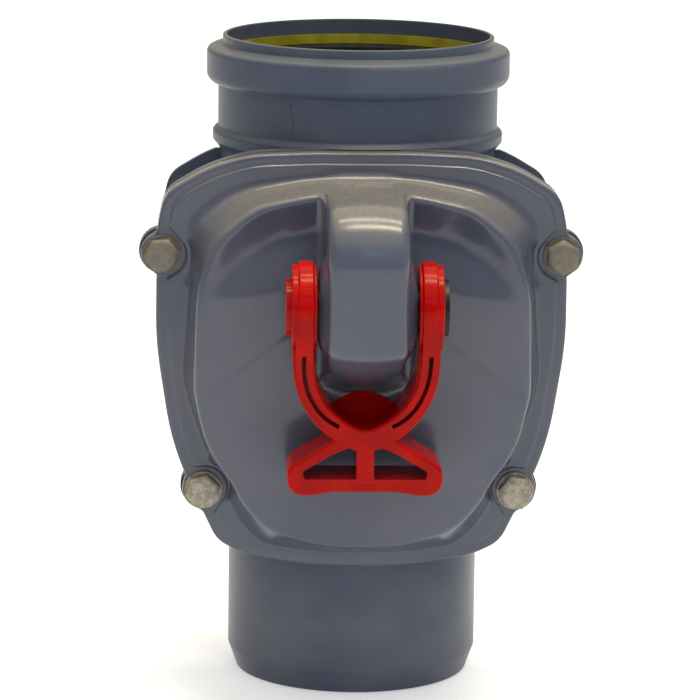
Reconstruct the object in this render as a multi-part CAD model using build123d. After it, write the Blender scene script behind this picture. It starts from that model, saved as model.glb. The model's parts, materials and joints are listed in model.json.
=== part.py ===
"""Backwater valve for a 110 mm drain pipe, drawn standing on its outlet spigot.

Millimetres. Z runs up the pipe from the end of the outlet spigot to the inlet socket, the
inspection cover and its lever face -Y, and X runs across the cover. Water flows down, from the
socket past the hanging flap to the spigot.
"""
from build123d import *
import os
from math import atan2, cos, degrees, hypot, radians, sin, tan

# Pipe ends
pipe_radius = 55.0
spigot_chamfer_length = 10.0
spigot_chamfer_depth = 3.6
waterway_radius = 50.0
socket_clearance = 0.3
socket_wall = 5.6
socket_stop_rise = 5.0
socket_depth = 44.0
lip_wall = 1.8
lip_height = 4.4
bead_radius = 65.9
bead_height = 16.4
groove_radius = 62.9
groove_height = 11.5
neck_radius = 60.2
neck_rise = 5.0
base_ring_radius = 63.2
base_ring_height = 3.8

# Socket seal and its retaining ring
seal_fit = 0.1
seal_bore_gap = 0.15
retaining_ring_height = 4.2
retaining_ring_bore = 56.4

# Chamber: a barrel round the pipe's axis and a box from it to the mating flange
chamber_wall = 3.5
barrel_radius = 63.5
barrel_low = 104.0
flare_low = 78.0
spigot_length = 60.4
spigot_step = 1.2
roof_rise = 14.0
box_back = -4.0
shoulder_inset = 1.7
shoulder_thickness = 4.0
shoulder_drop = 72.0
shoulder_rise = 48.5
seat_wall = 4.0
seat_height = 214.0
seat_tilt = 8.0

# Flanges, gasket and fasteners
parting_plane = -61.0
body_flange_thickness = 7.0
gasket_thickness = 1.5
gasket_inset = 1.0
cover_flange_thickness = 6.5
flange_margin = 4.4
flange_step = 0.8
body_lug_radius = 9.8
cover_lug_radius = 9.0
upper_bolt = (84.5, 12.8)
lower_bolt = (66.6, -89.0)
bolt_radius = 4.0
bolt_hole_radius = 4.5
bolt_length = 30.0
head_across_flats = 13.0
head_height = 5.3
nut_height = 6.8
washer_radius = 8.0
washer_thickness = 1.6

# Cover dome and pod
cover_wall = 3.5
crest_plane = -92.0
crest_round = 4.0
flange_round = 2.0
pocket_margin = 4.6
pocket_reach = 9.0
pocket_slope = 45.0
pocket_hinge = (36.0, 2.0)
pocket_fall = (0.062, 0.22)
pocket_wedge = (0.042, 0.33)
fan_top = 6.0
fan_low = 46.0
fan_foot = 118.0
fan_depth = 1.6
fan_band = 9.0
pod_reach = 21.5
pod_rise = 43.5
pod_drop = 42.7
pod_chin_drop = 18.0
pod_crown_radius = 26.0
pod_chin_radius = 9.0
pod_half_width = 16.5
pod_edge_round = 4.5
pod_wall = 3.2
cheek_face = 20.2
cheek_radius = 24.0
cheek_face_radius = 13.5
cheek_margin = 1.5
pod_gap = 0.8

# Lever, axle and cam
axle_y = -120.0
axle_drop = 30.0
axle_radius = 8.0
axle_boss_radius = 13.0
axle_boss_depth = 1.0
running_clearance = 0.05
axle_head_radius = 11.6
axle_head_thickness = 2.3
axle_flat = 6.5
arm_inner = 20.8
arm_outer = 31.0
head_radius = 19.0
head_step = 1.4
head_round = 0.6
lever_front_reach = 4.0
lever_depth = 26.0
grip_half_width = 32.2
grip_post = 3.6
grip_round = 1.5
arm_middle = 25.9
arm_width = 9.4
dish_thickness = 3.0
dish_sweep = 30.0
groove_width = 1.8
groove_depth = 7.0
arm_round = 1.2
cap_screw_radius = 2.5
cap_screw_length = 14.0
cap_screw_head = 1.2
seal_section = 0.8
seal_groove_width = 2.4
lever_travel = 100.0
cam_half_width = 5.5
cam_hub_radius = 12.5
cam_hub_half_length = 9.0
cam_spread = 16.0
cam_pin_radius = 2.0

# Flap and its hinge
hinge_y = -74.0
hinge_drop = 8.0
hinge_pin_radius = 3.0
hinge_ear_inner = 28.0
hinge_ear_thickness = 3.5
hinge_ear_depth = 14.0
hinge_ear_rise = 18.5
flap_travel = 82.0
flap_radius = 54.5
flap_plate_thickness = 2.0
flap_seal_thickness = 4.0
seat_gap = 0.3
clamp_radius = 42.0
clamp_thickness = 1.5
rivet_radius = 3.0
rivet_circle = 30.0
rivet_head_radius = 5.0
rivet_head_height = 2.0
hanger_half_width = 20.0
hanger_gauge = 2.5
hanger_length = 70.0
bush_radius = 5.0
hinge_barrel_radius = 6.5
horn_length = 28.0
horn_nose_radius = 4.0
horn_half_width = 5.0
horn_gauge = 6.0
latch_gap = 0.4
clip_radius = 5.5
clip_thickness = 1.0

# Worked-out places
roof_height = seat_height + roof_rise
neck_height = roof_height + neck_rise
socket_stop = neck_height + socket_stop_rise
socket_top = socket_stop + socket_depth
axle_z = seat_height - axle_drop
hinge_z = seat_height - hinge_drop
pod_front = axle_y - pod_reach
pod_top = axle_z + pod_rise
pod_underside = axle_z - pod_drop
pod_chin = axle_z - pod_chin_drop
lever_front = axle_y - lever_front_reach
lever_back = lever_front + lever_depth
lever_middle = lever_front + lever_depth / 2
socket_bore_radius = pipe_radius + socket_clearance
socket_outer = socket_bore_radius + socket_wall
lip_outer = socket_outer - 1.9
lip_bore = lip_outer - lip_wall
bead_top = socket_top - lip_height
groove_top = bead_top - 2.2
body_flange_back = parting_plane + body_flange_thickness
cover_seat = parting_plane - gasket_thickness
cover_face = cover_seat - cover_flange_thickness
head_seat = cover_face - washer_thickness
bolt_places = [(side * x, axle_z + z) for x, z in (upper_bolt, lower_bolt) for side in (-1, 1)]
hinge_to_axle = hypot(axle_y - hinge_y, axle_z - hinge_z)
axle_direction = degrees(atan2(axle_z - hinge_z, axle_y - hinge_y)) % 360
horn_rest = axle_direction - flap_travel / 2
half_swing = radians(flap_travel / 2)
latch_reach = hypot(hinge_to_axle - horn_length * cos(half_swing), horn_length * sin(half_swing))
cam_reach = latch_reach - horn_nose_radius - latch_gap
latch_direction = degrees(atan2(hinge_z + horn_length * sin(radians(horn_rest + flap_travel)) - axle_z,
                                hinge_y + horn_length * cos(radians(horn_rest + flap_travel)) - axle_y))
cam_rest = latch_direction + lever_travel
seat_offset = (-hinge_y * sin(radians(seat_tilt)) + (seat_height - hinge_z) * cos(radians(seat_tilt)))
flap_centre = (-hinge_y * cos(radians(seat_tilt)) - (seat_height - hinge_z) * sin(radians(seat_tilt)))
seal_face = seat_offset - seat_gap
plate_face = seal_face - flap_seal_thickness
plate_back = plate_face - flap_plate_thickness

# Half outlines in X and in height above the axle, from the bottom up, each corner with its fillet radius
flange_half = [((20, -122.8), 150), ((49.5, -117.6), 40), ((60.8, -111.6), 14), ((80, -71), 120),
               ((87.1, -25), 150), ((86.8, 23.8), 60), ((83.3, 38.8), 14), ((65.8, 49.3), 60),
               ((47.8, 55), 60), ((20, 56.2), 200)]
base_half = [((16, -117.5), 120), ((43, -114), 18), ((52.4, -100.5), 20), ((65.4, -71), 60), ((76, -41), 40),
             ((72.5, 0), 120), ((71.5, 24), 14), ((55, 38.5), 40), ((20, 45.3), 120)]
crest_half = [((14, -109.7), 60), ((38, -102), 14), ((48, -92.5), 25), ((66, -65), 50), ((70, -44), 50),
              ((69.8, 0), 60), ((62, 22), 26), ((45, 36.5), 30), ((18, 42.5), 90)]


def rounded(corners):
    """Closed face through the corners, each given with its fillet radius."""
    points = [point for point, _ in corners]
    return make_face(FilletPolyline(*points, radius=[radius for _, radius in corners], close=True))


def symmetric(half):
    """Face at the axle's height from a half outline and its mirror image about X = 0."""
    return Pos(0, axle_z) * rounded(half + [((-x, z), radius) for (x, z), radius in reversed(half)])


def both_sides(solid):
    """A solid and its mirror image about X = 0."""
    return solid + mirror(solid, Plane.YZ)


def slab(face, front, back):
    """A face drawn in X and Z, extruded from the depth back to the depth front."""
    return extrude(Plane.XZ.offset(-back) * face, amount=back - front)


def profile(face, half_width):
    """A face drawn in Y and Z, extruded both ways along X."""
    return extrude(Plane.YZ * face, amount=half_width, both=True)


def turned(points):
    """Solid of revolution about Z from corners given as radius and height."""
    return revolve(Plane.XZ * make_face(Polyline(*points, close=True)), Axis.Z)


def ring(outer, inner, low, high):
    """Plain ring about Z."""
    return turned([(inner, low), (outer, low), (outer, high), (inner, high)])


def across(radius, start, end, y=0.0, z=0.0):
    """Cylinder along X between two values of X."""
    bar = Cylinder(radius, end - start, align=(Align.CENTER, Align.CENTER, Align.MIN))
    return Pos(start, y, z) * Rot(0, 90, 0) * bar


def forward(radius, x, z, front, back):
    """Cylinder along Y at a place on the flange, between two depths."""
    return slab(Pos(x, z) * Circle(radius), front, back)


def valve_body():
    """Spigot, chamber, seat, neck, socket and mating flange, moulded in one."""
    opening = symmetric(base_half)
    outline = symmetric(flange_half)
    wall = [((0, 0), 0), ((pipe_radius - spigot_chamfer_depth, 0), 0),
            ((pipe_radius, spigot_chamfer_length), 3), ((pipe_radius, spigot_length), 0),
            ((pipe_radius + spigot_step, spigot_length + spigot_step), 0),
            ((pipe_radius + spigot_step, flare_low), 14), ((barrel_radius, barrel_low), 30),
            ((barrel_radius, seat_height), 14),
            ((neck_radius, roof_height), 3), ((neck_radius, neck_height), 2),
            ((base_ring_radius, neck_height + 3.4), 1.6),
            ((base_ring_radius, neck_height + 3.4 + base_ring_height), 1.6),
            ((socket_outer, neck_height + 9.6), 1), ((socket_outer, bead_top - bead_height), 0.6),
            ((bead_radius, bead_top - bead_height), 4.5), ((bead_radius, bead_top - 1.4), 2.4),
            ((lip_outer, bead_top + 0.4), 0.4), ((lip_outer, socket_top), 0.7), ((0, socket_top), 0)]
    body = revolve(Plane.XZ * rounded(wall), Axis.Z)
    body += slab(opening, parting_plane, box_back)
    body += slab(outline, parting_plane, body_flange_back)
    for x, z in bolt_places:
        body += forward(body_lug_radius, x, z, parting_plane, body_flange_back)
    shoulder = offset(outline, amount=-shoulder_inset)
    band = Rectangle(400, shoulder_drop + shoulder_rise, align=(Align.CENTER, Align.MIN))
    shoulder &= Pos(0, axle_z - shoulder_drop) * band
    body += slab(shoulder, box_back - shoulder_thickness, box_back)
    hollow = [((0, -1), 0), ((waterway_radius, -1), 0), ((waterway_radius, flare_low + 2), 20),
              ((barrel_radius - chamber_wall, barrel_low + 2), 30),
              ((barrel_radius - chamber_wall, roof_height - chamber_wall), 10),
              ((0, roof_height - chamber_wall), 0)]
    body -= revolve(Plane.XZ * rounded(hollow), Axis.Z)
    body -= slab(offset(opening, amount=-chamber_wall), parting_plane - 1, box_back - chamber_wall)
    body += seat() - slab(outline, parting_plane - 20, parting_plane)
    groove_low = groove_top - groove_height
    seat_inside = roof_height - 20
    body -= turned([(0, seat_inside), (waterway_radius, seat_inside), (waterway_radius, socket_stop),
                    (socket_bore_radius, socket_stop), (socket_bore_radius, groove_low),
                    (groove_radius, groove_low), (groove_radius, groove_top), (lip_bore, groove_top),
                    (lip_bore, socket_top - 0.5), (lip_bore + 0.5, socket_top + 1), (0, socket_top + 1)])
    for x, z in bolt_places:
        body -= forward(bolt_hole_radius, x, z, parting_plane - 1, body_flange_back + 12)
    low, high = flare_low - 20, neck_height + 7.5
    return body - Pos(0, parting_plane - 10, (low + high) / 2) * Box(120, 20, high - low)


def seat():
    """Short tube under the roof, its end cut at the seat's tilt."""
    reach = waterway_radius + seat_wall
    drop = reach * tan(radians(seat_tilt))
    tube = ring(reach, waterway_radius, seat_height - 20, roof_height)
    below = Polyline((-reach - 1, seat_height + drop), (reach + 1, seat_height - drop),
                     (reach + 1, seat_height - 30), (-reach - 1, seat_height - 30), close=True)
    return tube - profile(make_face(below), reach + 1)


def socket_seal():
    """Rubber ring in the groove, its lip pressed back as by a pipe."""
    low = groove_top - groove_height + seal_fit
    high = groove_top - seal_fit - retaining_ring_height
    outer = groove_radius - seal_fit
    inner = socket_bore_radius + seal_bore_gap
    return turned([(outer, low), (outer, high), (retaining_ring_bore + 1.5, high), (inner + 0.3, high - 0.6),
                   (inner, high - 1.6), (inner, low + 2.4), (inner + 1.8, low + 0.6), (inner + 2.6, low)])


def seal_retaining_ring():
    """Coloured ring that keeps the seal in its groove."""
    high = groove_top - seal_fit
    return ring(groove_radius - seal_fit, retaining_ring_bore, high - retaining_ring_height, high)


def pod(inset):
    """The cover's hollow nose round the axle, smaller all round by inset."""
    front, top, low = pod_front + inset, pod_top - inset, pod_underside + inset
    section = rounded([((crest_plane + 12, top), 0), ((front, top), pod_crown_radius - inset),
                       ((front, pod_chin + inset), pod_chin_radius - inset), ((crest_plane + 4, low), 0),
                       ((crest_plane + 12, low), 0)])
    form = profile(section, pod_half_width - inset)
    edges = form.edges().filter_by(Plane.YZ).filter_by(lambda edge: edge.center().Y < crest_plane)
    return fillet(edges, pod_edge_round - inset)


def pocket(side, grow):
    """Sunk field beside the pod: walls under the ridge, a floor that falls outwards and up, and a wedge."""
    front = crest_plane + grow
    field = offset(symmetric(crest_half), amount=grow - pocket_margin)
    field &= Pos(side * 50, axle_z + 42) * Rectangle(100, 100)
    walls = extrude(Plane.XZ.offset(-front) * field, amount=-pocket_reach, taper=pocket_slope)
    hinge = (side * pocket_hinge[0], front, axle_z + pocket_hinge[1])
    for out, up in (pocket_fall, pocket_wedge):
        floor = Plane(origin=hinge, z_dir=(side * out, -1, up))
        walls &= floor * Box(400, 400, 60, align=(Align.CENTER, Align.CENTER, Align.MIN))
    return walls


def fan():
    """Shallow field under the lever that widens and deepens from the hub to the crest's edge."""
    def section(drop, half_width, band, depth):
        corners = [(-half_width, crest_plane - 1), (half_width, crest_plane - 1), (half_width, crest_plane),
                   (half_width - band, crest_plane + depth), (band - half_width, crest_plane + depth),
                   (-half_width, crest_plane)]
        return Pos(0, 0, axle_z - drop) * make_face(Polyline(*corners, close=True))

    wide = pod_half_width + (fan_low - fan_top) * 1.4
    low = section(fan_low, wide, fan_band, fan_depth)
    field = loft([low, section(fan_top, pod_half_width, 1, 0.02)], ruled=True)
    return field + loft([section(fan_foot, wide + 100, fan_band, 1.5 * fan_depth), low], ruled=True)


def cheek():
    """Conical boss on the pod's right side that the lever's head turns beside."""
    depth = cheek_face - pod_half_width + 1
    cone = Cone(cheek_radius, cheek_face_radius, depth, align=(Align.CENTER, Align.CENTER, Align.MIN))
    within = Box(100, 100, 100, align=(Align.CENTER, Align.MIN, Align.MIN))
    cone = Pos(pod_half_width - 1, axle_y, axle_z) * Rot(0, 90, 0) * cone
    return cone & Pos(0, pod_front + cheek_margin, pod_chin + cheek_margin) * within


def inspection_cover():
    """Flange, dome and pod as one wall, with the hinge ears and the axle's bosses inside."""
    base = symmetric(base_half)
    crest = symmetric(crest_half)
    plate = slab(symmetric(flange_half), cover_face, cover_seat)
    plate = fillet(plate.faces().sort_by(Axis.Y)[0].edges(), flange_round)
    step = offset(symmetric(flange_half), amount=-flange_margin)
    for x, z in bolt_places:
        plate += forward(cover_lug_radius, x, z, cover_face, cover_seat)
        step -= Pos(x, z) * Circle(cover_lug_radius + 1)
    plate += slab(step, cover_face - flange_step, cover_face)

    def dome(levels):
        """Lofted form through outlines, each given as depth, outline and inset."""
        sections = [Plane.XZ.offset(-depth) * (offset(outline, amount=-inset) if inset else outline)
                    for depth, outline, inset in levels]
        return loft(sections, ruled=True)

    outer = dome([(cover_face, base, 0), (crest_plane + crest_round, crest, 0),
                  (crest_plane + 0.3 * crest_round, crest, 0.3 * crest_round),
                  (crest_plane, crest, crest_round)])
    inner = dome([(cover_face, base, cover_wall), (crest_plane + cover_wall, crest, cover_wall)])
    for side in (-1, 1):
        outer -= pocket(side, 0)
        inner -= pocket(side, cover_wall)
    outer -= fan()
    inner -= Pos(0, cover_wall, 0) * fan()
    outer += pod(0)
    outer += both_sides(cheek())
    inner += slab(offset(base, amount=-cover_wall), cover_face - flange_step - 0.5, cover_seat + 1)
    inner += pod(pod_wall)
    cover = plate + outer - inner
    boss_end = pod_half_width - pod_wall - axle_boss_depth
    boss = across(axle_boss_radius, boss_end, pod_half_width - 1, axle_y, axle_z)
    cover += both_sides(boss)
    cover -= across(axle_radius + running_clearance, -arm_outer, arm_outer, axle_y, axle_z)
    for x, z in bolt_places:
        cover -= forward(bolt_hole_radius, x, z, cover_face - 1, cover_seat + 1)
    for side in (-1, 1):
        middle = side * (hinge_ear_inner + hinge_ear_thickness / 2)
        half = hinge_ear_thickness / 2
        cover += Pos(middle, hinge_y, hinge_z + hinge_ear_rise / 2) * Box(
            hinge_ear_thickness, hinge_ear_depth, hinge_ear_rise)
        cover += across(hinge_ear_depth / 2, middle - half, middle + half, hinge_y, hinge_z)
    return cover - across(hinge_pin_radius, -60, 60, hinge_y, hinge_z)


def cover_gasket():
    """Flat rubber frame between the flanges, cut out round the bolts."""
    frame = offset(symmetric(flange_half), amount=-gasket_inset)
    frame -= offset(symmetric(base_half), amount=-cover_wall)
    for x, z in bolt_places:
        frame -= Pos(x, z) * Circle(bolt_hole_radius)
    return slab(frame, cover_seat, parting_plane)


def hexagon(across_flats):
    return RegularPolygon(across_flats / 2, 6, major_radius=False)


def cover_bolts():
    """Four hexagon bolts, heads to the front."""
    bolts = []
    for x, z in bolt_places:
        head = slab(Pos(x, z) * hexagon(head_across_flats), head_seat - head_height, head_seat)
        cone = slab(Pos(x, z) * Circle(head_across_flats * 0.56), head_seat - head_height, head_seat)
        cone = chamfer(cone.faces().sort_by(Axis.Y)[0].edges(), 0.8)
        bolts.append((head & cone) + forward(bolt_radius, x, z, head_seat, head_seat + bolt_length))
    return bolts


def washers(seat, hole=bolt_radius + 0.2):
    """Four washers whose front lies one thickness before the seat."""
    return [forward(washer_radius, x, z, seat - washer_thickness, seat)
            - forward(hole, x, z, seat - washer_thickness - 1, seat + 1) for x, z in bolt_places]


def cover_nuts():
    """Four hexagon nuts behind the body flange."""
    front = body_flange_back + washer_thickness
    return [slab(Pos(x, z) * hexagon(head_across_flats), front, front + nut_height)
            - forward(bolt_radius, x, z, front - 1, front + nut_height + 1) for x, z in bolt_places]


def double_flat(radius, half_flat, half_width):
    """Round bar along X with two flats, for the axle's ends and the holes that they drive."""
    bar = across(radius, -half_width, half_width, axle_y, axle_z)
    return bar & Pos(0, axle_y, axle_z) * Box(4 * half_width, 2 * half_flat, 4 * radius)


def operating_lever():
    """Two heads and grooved arms that cross over a thumb dish and a loop grip, heights from the axle."""
    loop = symmetric([((13, -77.2), 14), ((22, -78.7), 14), ((grip_half_width, -78.7), 6.5),
                      ((grip_half_width, -66.8), 6), ((6, -50.5), 4)])
    window = Pos(0, axle_z) * rounded([((grip_post, -56.8), 0.8), ((14, -61.4), 30), ((25.8, -68.4), 2),
                                       ((25.4, -71.6), 1), ((grip_post, -71.6), 0.8)])
    grip = slab(loop - window - mirror(window, Plane.YZ), lever_front, lever_back)
    rims = grip.faces().sort_by(Axis.Y)
    grip = fillet(rims[0].outer_wire().edges() + rims[-1].outer_wire().edges(), grip_round)
    line = Spline((arm_middle, 0), (arm_middle - 0.1, -20), (23.6, -35), (16.5, -46.4), (2, -55.4))
    centre = Plane.XZ.offset(-lever_middle) * Pos(0, axle_z) * line
    section = RectangleRounded(arm_width, lever_depth, arm_round)
    arm = sweep(Plane(centre @ 0, z_dir=centre % 0) * section, centre)
    slit = trace(Spline((arm_middle, -18), (25.3, -29), (21.7, -39.5), (11, -49.4)), groove_width)
    head_front, head_back = axle_y - head_radius + 2, axle_y + head_radius - 2
    side = rounded([((lever_front, -64), 0), ((lever_front, -36), 60), ((head_front, -12), 20),
                    ((head_front, 2), 0), ((head_back, 2), 0), ((head_back, -8), 20),
                    ((lever_back, -34), 60), ((lever_back, -64), 0)])
    web = slab(Pos(0, axle_z) * trace(line, arm_width - 2 * arm_round), head_front - 2, lever_back + 2)
    bar = arm + (web & Pos(0, 0, axle_z) * profile(side, 2 * arm_outer))
    bar -= slab(Pos(0, axle_z) * slit, head_front - 2, lever_front + groove_depth)
    lever = both_sides(bar)
    front = lever_front + 0.5
    curve = ThreePointArc((lever_back, -39.5), (lever_back - 11, -50.5), (front, -53))
    under = ThreePointArc((front, -53 - dish_thickness), (lever_back - 9, -54), (lever_back, -44.5))
    dish = make_face([curve, Line(curve @ 1, under @ 0), under, Line(under @ 1, curve @ 0)])
    between = make_face(Polyline((-8, -57), (8, -57), (19.5, -35), (-19.5, -35), close=True))
    dish = Pos(0, 0, axle_z) * (profile(dish, arm_middle) & slab(between, lever_front, lever_back))
    lever += dish & Pos(0, lever_back - dish_sweep, axle_z - 46) * Cylinder(dish_sweep, 40)
    lever += grip
    lever -= pod(-pod_gap)
    outer = arm_outer - 2 * head_step
    head = across(head_radius - head_step, arm_inner, arm_outer, axle_y, axle_z)
    head += across(head_radius, arm_inner + head_step, outer, axle_y, axle_z)
    lever += both_sides(fillet(head.edges().filter_by(GeomType.CIRCLE), head_round))
    return lever - double_flat(axle_radius, axle_flat, 2 * arm_outer)


def lever_axle():
    """Axle with flats at both ends, two seal grooves, a cross hole and a head disc on the right."""
    axle = across(axle_radius, -arm_inner, arm_inner, axle_y, axle_z)
    axle += double_flat(axle_radius, axle_flat, arm_outer)
    axle += across(axle_head_radius, arm_outer, arm_outer + axle_head_thickness, axle_y, axle_z)
    for side in (-1, 1):
        place = side * (pod_half_width - pod_wall / 2)
        half = seal_groove_width / 2
        groove = across(axle_radius + 1, place - half, place + half, axle_y, axle_z)
        groove -= across(axle_radius - 2 * seal_section, place - 3, place + 3, axle_y, axle_z)
        axle -= groove
    axle -= across(cap_screw_radius, -arm_outer, -arm_outer + cap_screw_length, axle_y, axle_z)
    return axle - Pos(0, axle_y, axle_z) * Rot(90, 0, 0) * Cylinder(cam_pin_radius, 4 * cam_hub_radius)


def axle_cap():
    """Disc on the left head, with a seat for its screw."""
    end = -arm_outer - axle_head_thickness
    disc = across(axle_head_radius, end, -arm_outer, axle_y, axle_z)
    disc -= across(2 * cap_screw_radius, end, end + cap_screw_head, axle_y, axle_z)
    return disc - across(cap_screw_radius, end, 0, axle_y, axle_z)


def axle_cap_screw():
    """Screw along the axle that holds the cap."""
    end = -arm_outer - axle_head_thickness
    screw = across(cap_screw_radius, end, -arm_outer + cap_screw_length, axle_y, axle_z)
    return screw + across(2 * cap_screw_radius, end, end + cap_screw_head, axle_y, axle_z)


def axle_seals():
    """Two O-rings in the axle's grooves."""
    section = Plane.XZ * Pos(axle_radius - seal_section, 0) * Circle(seal_section)
    one = revolve(section, Axis.Z)
    place = pod_half_width - pod_wall / 2
    return [Pos(side * place, axle_y, axle_z) * Rot(0, 90, 0) * one for side in (-1, 1)]


def locking_cam():
    """Hub and sector; the sector's round end stands before the horn's nose when it locks."""
    place = Pos(axle_y, axle_z)
    tip = (cam_reach * cos(radians(cam_spread)), cam_reach * sin(radians(cam_spread)))
    sector = make_face([Line((0, 0), (tip[0], -tip[1])),
                        CenterArc((0, 0), cam_reach, -cam_spread, 2 * cam_spread), Line(tip, (0, 0))])
    cam = profile(place * Rot(0, 0, cam_rest) * sector, cam_half_width)
    cam += across(cam_hub_radius, -cam_hub_half_length, cam_hub_half_length, axle_y, axle_z)
    cam -= across(axle_radius, -40, 40, axle_y, axle_z)
    return cam - Pos(0, axle_y, axle_z) * Rot(90, 0, 0) * Cylinder(cam_pin_radius, 4 * cam_hub_radius)


def cam_pin():
    """Pin through the cam's hub and the axle."""
    return Pos(0, axle_y, axle_z) * Rot(90, 0, 0) * Cylinder(cam_pin_radius, 2 * cam_hub_radius - 1)


def flap_disc(radius, start, end):
    """Disc of the hanging flap between two distances from the hinge's plane."""
    return forward(radius, 0, hinge_z - flap_centre, hinge_y + start, hinge_y + end)


def rivet_places():
    return [(rivet_circle * sin(radians(angle)), hinge_z - flap_centre + rivet_circle * cos(radians(angle)))
            for angle in (60, 180, 300)]


def drilled(disc):
    for x, z in rivet_places():
        disc -= forward(rivet_radius, x, z, -100, 0)
    return disc


def flap_plate():
    return drilled(flap_disc(flap_radius, plate_back, plate_face))


def flap_seal():
    return drilled(flap_disc(flap_radius - 0.5, plate_face, seal_face))


def seal_clamp_plate():
    return drilled(flap_disc(clamp_radius, seal_face, seal_face + clamp_thickness))


def flap_rivets():
    """Three rivets through the plate, the seal and the clamp plate."""
    rivets = []
    for x, z in rivet_places():
        shank = forward(rivet_radius, x, z, hinge_y + plate_back, hinge_y + seal_face + clamp_thickness)
        for seat, way in ((hinge_y + plate_back, -1), (hinge_y + seal_face + clamp_thickness, 1)):
            ends = sorted((seat, seat + way * rivet_head_height))
            shank += forward(rivet_head_radius, x, z, ends[0], ends[1])
        rivets.append(shank)
    return rivets


def flap_hanger():
    """Bent bracket: a strap on the plate's back and two cheeks up to the hinge."""
    back = hinge_y + plate_back
    start = hinge_z - flap_centre + hanger_length / 2
    strap = Pos(0, back - hanger_gauge / 2, start - hanger_length / 2) * Box(
        2 * hanger_half_width, hanger_gauge, hanger_length)
    section = make_face(Polyline((hinge_y - hinge_barrel_radius, hinge_z),
                                 (hinge_y + hinge_barrel_radius, hinge_z + 1), (back, start),
                                 (back, start - 30), (back - hanger_gauge, start - 30), close=True))
    section += Pos(hinge_y, hinge_z) * Circle(hinge_barrel_radius)
    cheeks = profile(section, hanger_half_width) - profile(section, hanger_half_width - hanger_gauge)
    hanger = strap + cheeks
    for x, z in rivet_places():
        hanger -= forward(rivet_head_radius + 0.2, x, z, -100, 0)
    return hanger - across(bush_radius, -60, 60, hinge_y, hinge_z)


def hinge_bushes():
    """Two plastic bushes between the hanger's cheeks and the pin."""
    bushes = []
    for side in (-1, 1):
        ends = sorted((side * (hanger_half_width - hanger_gauge), side * (hinge_ear_inner - 0.5)))
        bush = across(bush_radius, ends[0], ends[1], hinge_y, hinge_z)
        bushes.append(bush - across(hinge_pin_radius + running_clearance, -60, 60, hinge_y, hinge_z))
    return bushes


def lock_horn():
    """Barrel on the hinge pin with the nose that the cam blocks."""
    half = hanger_half_width - hanger_gauge
    barrel = across(hinge_barrel_radius, -half, half, hinge_y, hinge_z)
    arm = Pos(horn_length / 2, 0) * Rectangle(horn_length, horn_gauge)
    arm += Pos(horn_length, 0) * Circle(horn_nose_radius)
    barrel += profile(Pos(hinge_y, hinge_z) * Rot(0, 0, horn_rest) * arm, horn_half_width)
    return barrel - across(hinge_pin_radius + running_clearance, -60, 60, hinge_y, hinge_z)


def hinge_pin():
    end = hinge_ear_inner + hinge_ear_thickness + 3
    return across(hinge_pin_radius, -end, end, hinge_y, hinge_z)


def hinge_clips():
    """Two spring clips outside the cover's ears."""
    clips = []
    for side in (-1, 1):
        start = hinge_ear_inner + hinge_ear_thickness
        ends = sorted((side * start, side * (start + clip_thickness)))
        clip = across(clip_radius, ends[0], ends[1], hinge_y, hinge_z)
        clips.append(clip - across(hinge_pin_radius, -60, 60, hinge_y, hinge_z))
    return clips


nodes = {
    "valve_body": valve_body,
    "socket_seal": socket_seal,
    "seal_retaining_ring": seal_retaining_ring,
    "inspection_cover": inspection_cover,
    "cover_gasket": cover_gasket,
    "cover_bolts": cover_bolts,
    "bolt_washers": lambda: washers(cover_face),
    "nut_washers": lambda: washers(body_flange_back + washer_thickness),
    "cover_nuts": cover_nuts,
    "operating_lever": operating_lever,
    "lever_axle": lever_axle,
    "axle_cap": axle_cap,
    "axle_cap_screw": axle_cap_screw,
    "axle_seals": axle_seals,
    "locking_cam": locking_cam,
    "cam_pin": cam_pin,
    "flap_plate": flap_plate,
    "flap_seal": flap_seal,
    "seal_clamp_plate": seal_clamp_plate,
    "flap_rivets": flap_rivets,
    "flap_hanger": flap_hanger,
    "lock_horn": lock_horn,
    "hinge_bushes": hinge_bushes,
    "hinge_pin": hinge_pin,
    "hinge_clips": hinge_clips,
}

os.makedirs("parts", exist_ok=True)
for name, build in nodes.items():
    made = build()
    group = made if isinstance(made, list) else [made]
    solids = [solid for item in group for solid in item.solids()]
    export_step(solids[0] if len(solids) == 1 else Compound(children=solids), f"parts/{name}.step")
    print(name, len(solids), "solids")
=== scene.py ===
import json
import math
import bmesh
import bpy
import numpy as np
from mathutils import Matrix, Vector


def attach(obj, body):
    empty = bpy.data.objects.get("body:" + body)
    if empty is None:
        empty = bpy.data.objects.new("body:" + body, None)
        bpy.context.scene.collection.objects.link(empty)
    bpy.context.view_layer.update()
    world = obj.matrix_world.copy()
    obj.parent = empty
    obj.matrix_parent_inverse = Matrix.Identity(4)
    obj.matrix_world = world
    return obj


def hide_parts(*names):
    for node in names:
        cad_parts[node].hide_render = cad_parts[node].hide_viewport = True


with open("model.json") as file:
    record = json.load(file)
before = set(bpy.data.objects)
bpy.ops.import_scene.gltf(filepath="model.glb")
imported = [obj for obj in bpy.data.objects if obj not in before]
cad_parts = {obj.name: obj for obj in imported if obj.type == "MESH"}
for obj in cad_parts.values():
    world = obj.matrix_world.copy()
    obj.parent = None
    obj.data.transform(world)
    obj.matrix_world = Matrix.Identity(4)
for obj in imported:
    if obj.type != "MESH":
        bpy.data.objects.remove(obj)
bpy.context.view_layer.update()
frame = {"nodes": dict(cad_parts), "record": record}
nodes = frame["nodes"]
mm = 0.001
print("frame loaded:", len(nodes), "CAD nodes")


# Shader tools

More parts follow.
